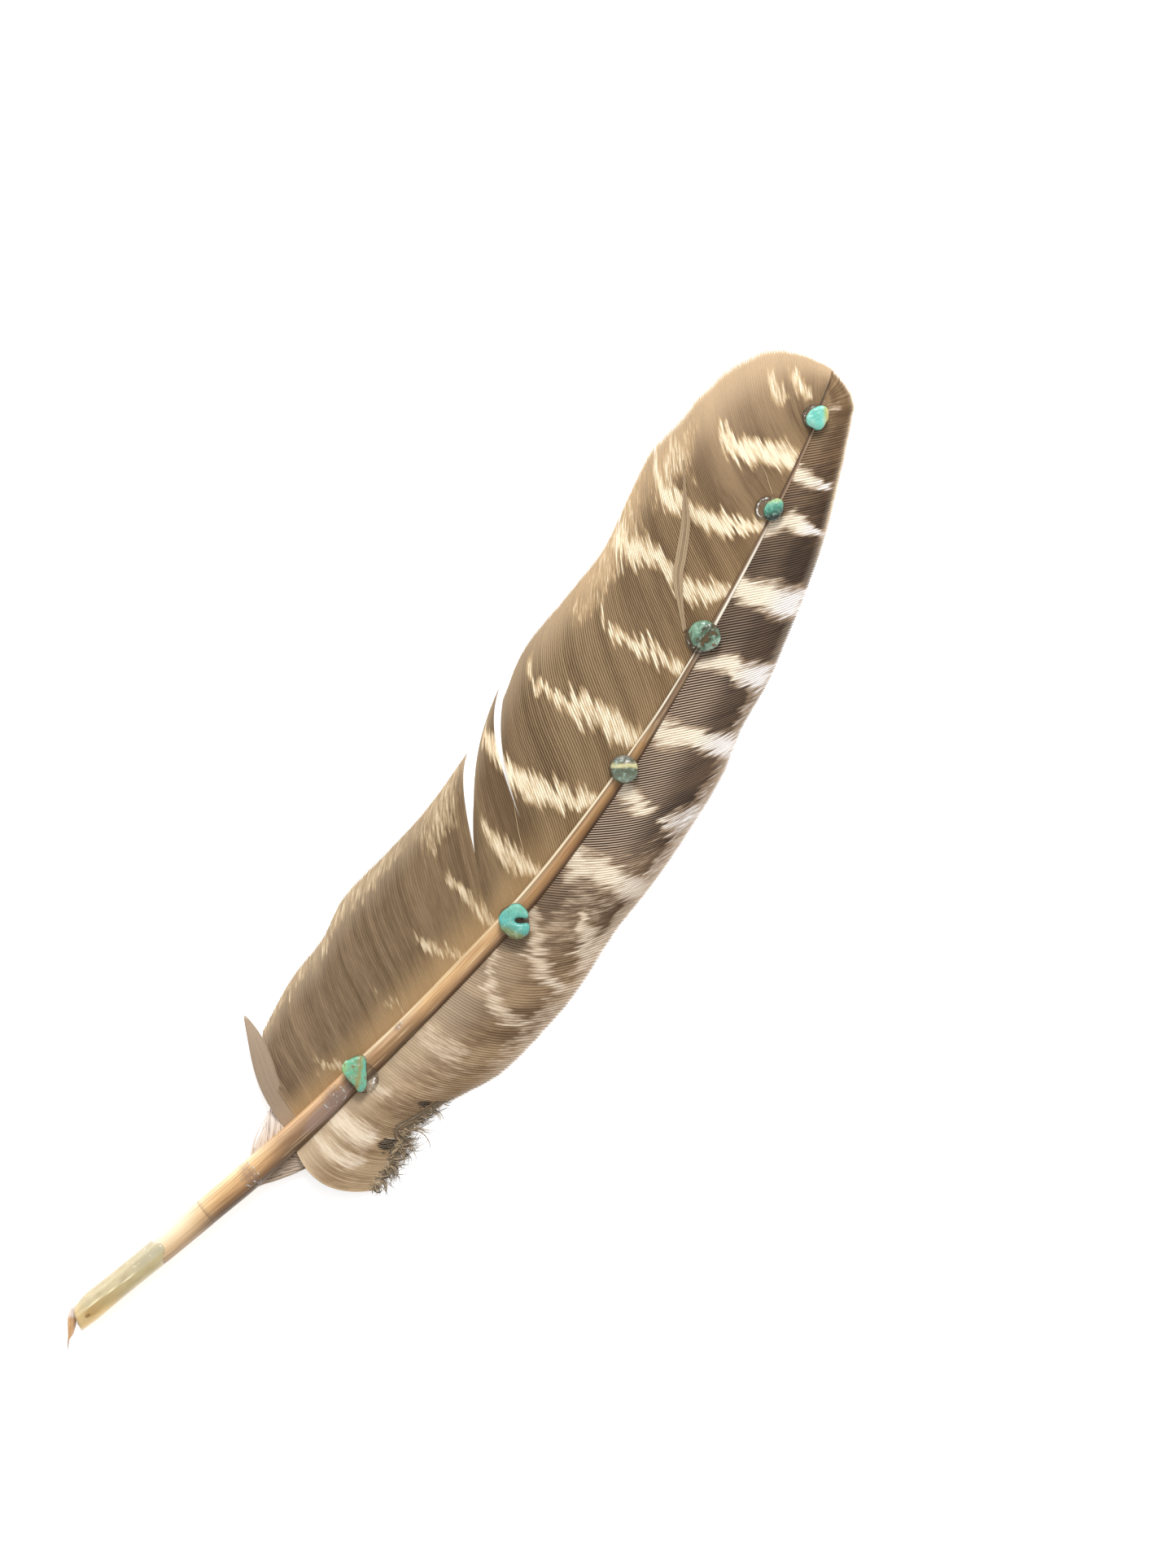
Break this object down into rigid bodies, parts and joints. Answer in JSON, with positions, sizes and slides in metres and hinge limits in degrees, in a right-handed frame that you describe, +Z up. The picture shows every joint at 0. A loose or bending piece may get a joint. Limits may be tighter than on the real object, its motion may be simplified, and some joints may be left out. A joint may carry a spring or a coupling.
{
  "type": "quill pen",
  "caption": "Feather quill pen with a scraped horn barrel cut to a slit nib, barred brown vanes and turquoise chips glued along the shaft.",
  "frame": {"origin": "under the middle of the whole feather's box, on the plane it rests on", "axes": "+X along the feather from the nib to the feather's tip, +Y towards the wide vane, +Z up from the plane it rests on, out of its upper face with the stones"},
  "size_m": [0.3054, 0.0718, 0.0089],
  "materials": {
    "clear_horn": "satin",
    "scraped_horn": "satin",
    "shaft_horn": "satin",
    "stained_horn": "satin",
    "pith": "matte",
    "dried_pulp": "matte",
    "dried_ink": "satin",
    "wide_vane": "matte",
    "narrow_vane": "matte",
    "down": "matte",
    "pale_barb": "matte",
    "clear_glue": "gloss",
    "turquoise": "satin",
    "green_turquoise": "satin"
  },
  "bodies": {
    "root": {"barrel": "clear_horn", "neck": "scraped_horn", "rachis_shell": "shaft_horn", "rachis_pith": "pith", "nib": "stained_horn", "pulp_strip": "dried_pulp", "pulp_cap": "dried_pulp", "ink_residue": "dried_ink", "vane_left_base_lock": "wide_vane", "vane_left_lower": "wide_vane", "vane_left_lock": "wide_vane", "vane_left_upper": "wide_vane", "vane_right_base": "narrow_vane", "vane_right_main": "narrow_vane", "down_left": "down", "down_right": "down", "loose_barb_1": "wide_vane", "loose_barb_2": "wide_vane", "loose_barb_3": "wide_vane", "loose_barb_4": "pale_barb", "fringe_1": "down", "fringe_2": "down", "fringe_3": "down", "stone_1": "turquoise", "stone_2": "turquoise", "stone_3": "green_turquoise", "stone_4": "green_turquoise", "stone_5": "turquoise", "stone_6": "turquoise", "glue_1": "clear_glue", "glue_2": "clear_glue", "glue_3": "clear_glue", "glue_4": "clear_glue", "glue_5": "clear_glue", "glue_6": "clear_glue", "glue_film_1": "clear_glue", "glue_film_2": "clear_glue", "glue_film_3": "clear_glue"}
  },
  "joints": []
}
